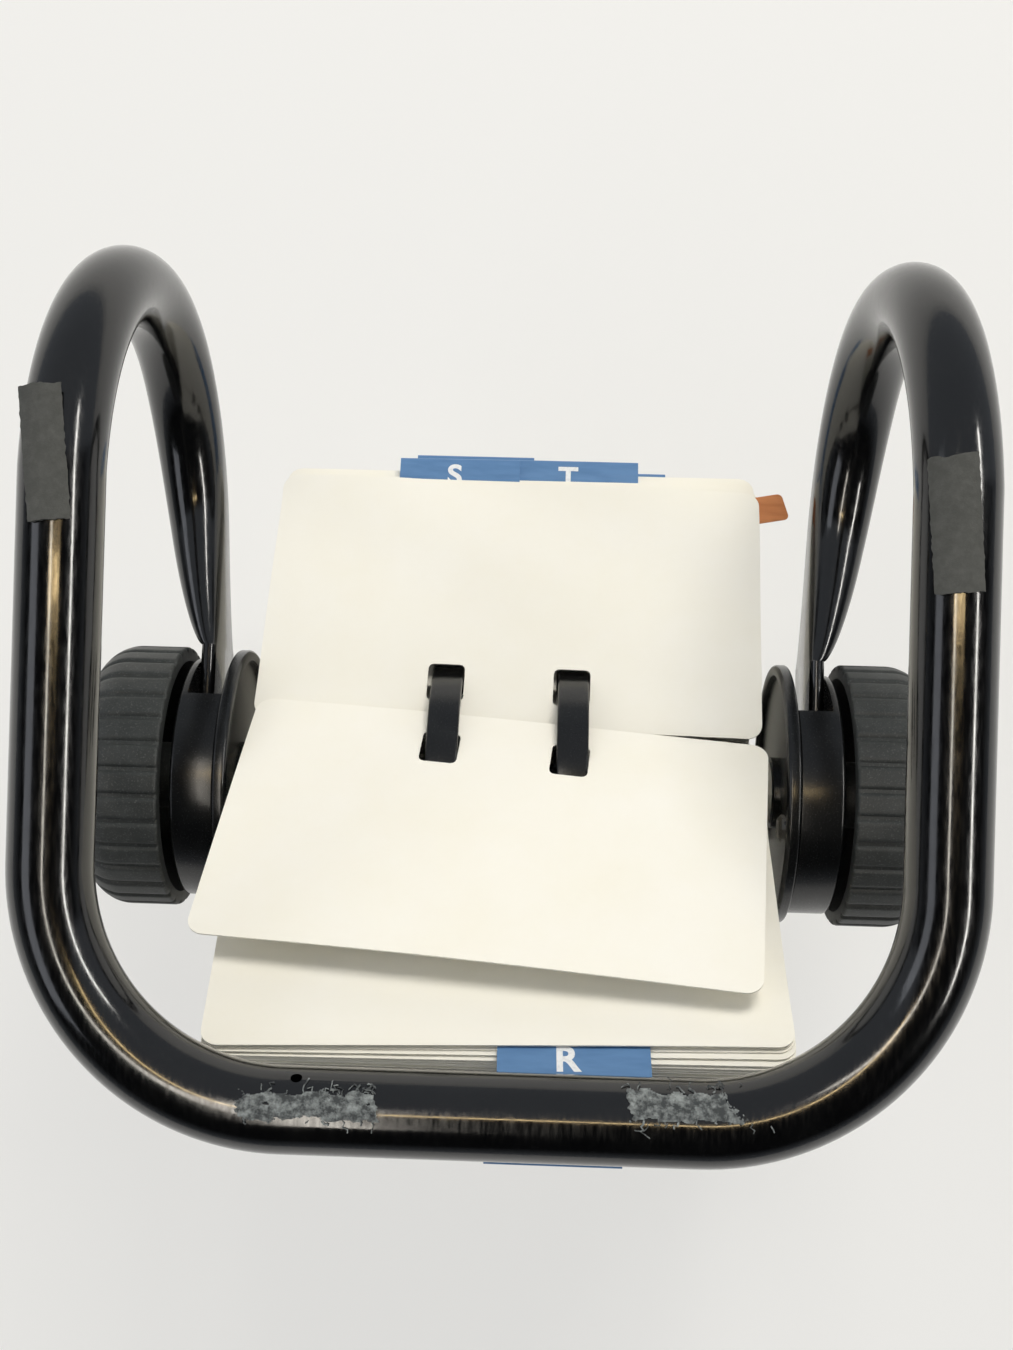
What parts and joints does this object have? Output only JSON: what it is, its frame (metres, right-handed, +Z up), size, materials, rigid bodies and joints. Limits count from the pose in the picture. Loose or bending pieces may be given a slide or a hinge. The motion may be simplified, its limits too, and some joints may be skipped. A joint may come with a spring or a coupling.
{
  "type": "rotary card file",
  "caption": "Desk card file: one bent black tube carries a wheel of notched ivory index cards between two ribbed hand knobs.",
  "frame": {"origin": "on the desk, under the middle of the whole object's bounding box", "axes": "+Z up as it stands on a desk, +X along the wheel's axis to the right-hand knob, -Y to the front, where the tube's two bends are; the cross-bar of the tube lies at the back, +Y"},
  "size_m": [0.169, 0.1715, 0.1514],
  "materials": {
    "black_enamel": "gloss",
    "black_plastic": "satin",
    "charcoal_plastic": "matte",
    "bright_steel": "satin",
    "nylon": "satin",
    "grey_rubber": "matte",
    "dried_adhesive": "matte",
    "card_stock": "matte",
    "blue_plastic": "satin",
    "orange_plastic": "satin"
  },
  "bodies": {
    "frame": {"frame_tube": "black_enamel", "left_collar": "black_plastic", "left_flange": "black_plastic", "left_housing_screw_1": "bright_steel", "left_housing_screw_2": "bright_steel", "left_axle_bush": "nylon", "left_thrust_washer": "nylon", "left_foot_pad": "grey_rubber", "left_pad_residue": "dried_adhesive", "right_collar": "black_plastic", "right_flange": "black_plastic", "right_housing_screw_1": "bright_steel", "right_housing_screw_2": "bright_steel", "right_axle_bush": "nylon", "right_thrust_washer": "nylon", "right_foot_pad": "grey_rubber", "right_pad_residue": "dried_adhesive"},
    "wheel": {"axle": "bright_steel", "wheel_sleeve": "black_plastic", "drive_pin": "bright_steel", "left_card_rim": "black_plastic", "left_wave_washer": "bright_steel", "left_knob": "charcoal_plastic", "right_card_rim": "black_plastic", "right_wave_washer": "bright_steel", "right_knob": "charcoal_plastic", "card_01": "card_stock", "card_02": "card_stock", "card_03": "card_stock", "card_04": "card_stock", "card_05": "card_stock", "card_06": "card_stock", "card_07": "card_stock", "card_08": "card_stock", "card_09": "card_stock", "card_10": "card_stock", "card_11": "card_stock", "card_12": "card_stock", "card_13": "card_stock", "card_14": "card_stock", "card_15": "card_stock", "card_16": "card_stock", "card_17": "card_stock", "card_18": "card_stock", "card_19": "card_stock", "card_20": "card_stock", "guide_card_1": "card_stock", "guide_card_2": "card_stock", "guide_card_3": "card_stock", "guide_card_4": "card_stock", "guide_card_5": "card_stock", "guide_tab_1": "blue_plastic", "guide_tab_2": "blue_plastic", "guide_tab_3": "blue_plastic", "guide_tab_4": "blue_plastic", "guide_tab_5": "blue_plastic"},
    "front_card": {"front_card": "card_stock", "index_flag": "orange_plastic"},
    "loose_card": {"loose_card": "card_stock"}
  },
  "joints": [
    {"name": "wheel_spin", "type": "hinge", "parent": "frame", "child": "wheel", "pos_m": [0, 0.0138, 0.0802], "axis": [1, 0, 0], "continuous": true},
    {"name": "front_card_flip", "type": "hinge", "parent": "wheel", "child": "front_card", "pos_m": [0, -0.00774, 0.07106], "axis": [1, 0, 0], "range_deg": [0, 58]},
    {"name": "loose_card_flip", "type": "hinge", "parent": "wheel", "child": "loose_card", "pos_m": [0, 0.00775, 0.0576], "axis": [1, 0, 0], "range_deg": [-80, 0]}
  ]
}
